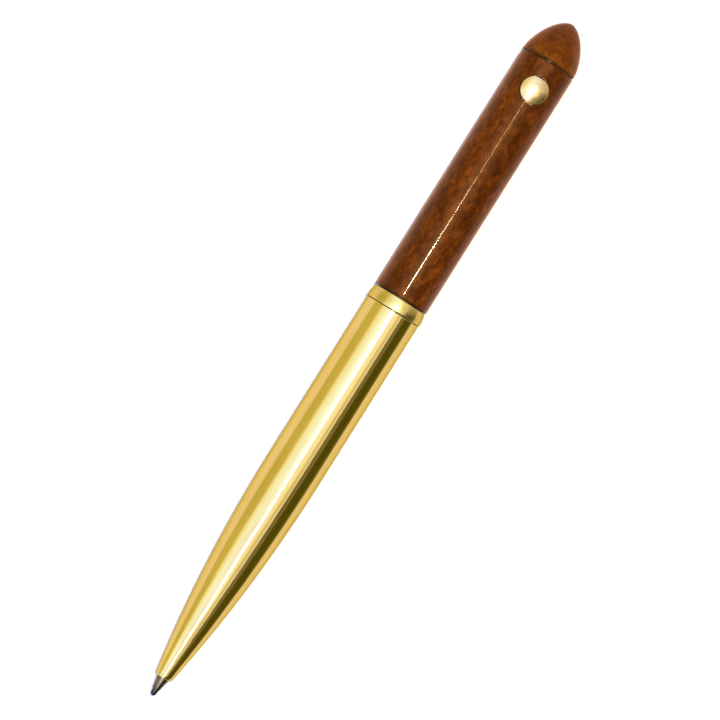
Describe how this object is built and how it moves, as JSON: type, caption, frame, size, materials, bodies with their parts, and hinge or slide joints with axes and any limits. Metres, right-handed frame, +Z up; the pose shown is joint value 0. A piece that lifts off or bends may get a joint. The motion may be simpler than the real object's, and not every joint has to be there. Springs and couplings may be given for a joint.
{
  "type": "retractable ballpoint pen",
  "caption": "Slim retractable pen with a metal front half, a wooden rear half, a wooden push cap and a round side release button.",
  "frame": {"origin": "on the plane the pen rests on, under the middle of its length", "axes": "+X along the pen from the writing tip to the end cap, +Z up out of the release button, +Y across the pen"},
  "size_m": [0.14, 0.0108, 0.0112],
  "materials": {
    "front_barrel": "polished brass",
    "collar_ring": "polished brass",
    "threaded_coupler": "turned brass",
    "wood_barrel": "lacquered reddish-brown wood",
    "liner_tube": "drawn brass",
    "guide_sleeve": "moulded acetal",
    "end_bush": "turned brass",
    "catch_spring": "spring steel wire",
    "release_button": "polished brass",
    "spreader_wedge": "ground steel",
    "bullet_cap": "waxed reddish-brown wood",
    "cap_insert": "turned brass",
    "plunger_stem": "turned brass",
    "buffer_washer": "black rubber",
    "thrust_cup": "moulded acetal",
    "tip_ball": "tungsten carbide",
    "tip_socket": "turned steel",
    "refill_neck": "moulded plastic",
    "refill_tube": "extruded plastic",
    "ink_column": "ink",
    "refill_end_plug": "moulded plastic",
    "return_spring": "spring steel wire"
  },
  "bodies": {
    "barrel": {"front_barrel": "front_barrel", "collar_ring": "collar_ring", "threaded_coupler": "threaded_coupler", "wood_barrel": "wood_barrel", "liner_tube": "liner_tube", "guide_sleeve": "guide_sleeve", "end_bush": "end_bush", "catch_spring": "catch_spring", "return_spring": "return_spring"},
    "button": {"release_button": "release_button", "spreader_wedge": "spreader_wedge"},
    "plunger": {"bullet_cap": "bullet_cap", "cap_insert": "cap_insert", "plunger_stem": "plunger_stem", "buffer_washer": "buffer_washer", "thrust_cup": "thrust_cup"},
    "refill": {"tip_socket": "tip_socket", "refill_neck": "refill_neck", "refill_tube": "refill_tube", "ink_column": "ink_column", "refill_end_plug": "refill_end_plug"},
    "ball": {"tip_ball": "tip_ball"}
  },
  "joints": [
    {"name": "cap_push", "type": "slide", "parent": "barrel", "child": "plunger", "axis": [1, 0, 0], "range_m": [0, 0.006], "deforming": ["catch_spring"]},
    {"name": "refill_slide", "type": "slide", "parent": "barrel", "child": "refill", "axis": [1, 0, 0], "range_m": [0, 0.006], "deforming": ["return_spring"]},
    {"name": "button_press", "type": "slide", "parent": "barrel", "child": "button", "axis": [0, 0, -1], "range_m": [0, 0.0011], "stiffness_N_per_m": 400, "deforming": ["catch_spring"]},
    {"name": "ball_roll", "type": "hinge", "parent": "refill", "child": "ball", "pos_m": [-0.06965, 0, 0.0054], "axis": [0, 1, 0], "continuous": true}
  ],
  "couplings": [
    {"joint": "refill_slide", "follows": "cap_push", "ratio": 1}
  ]
}
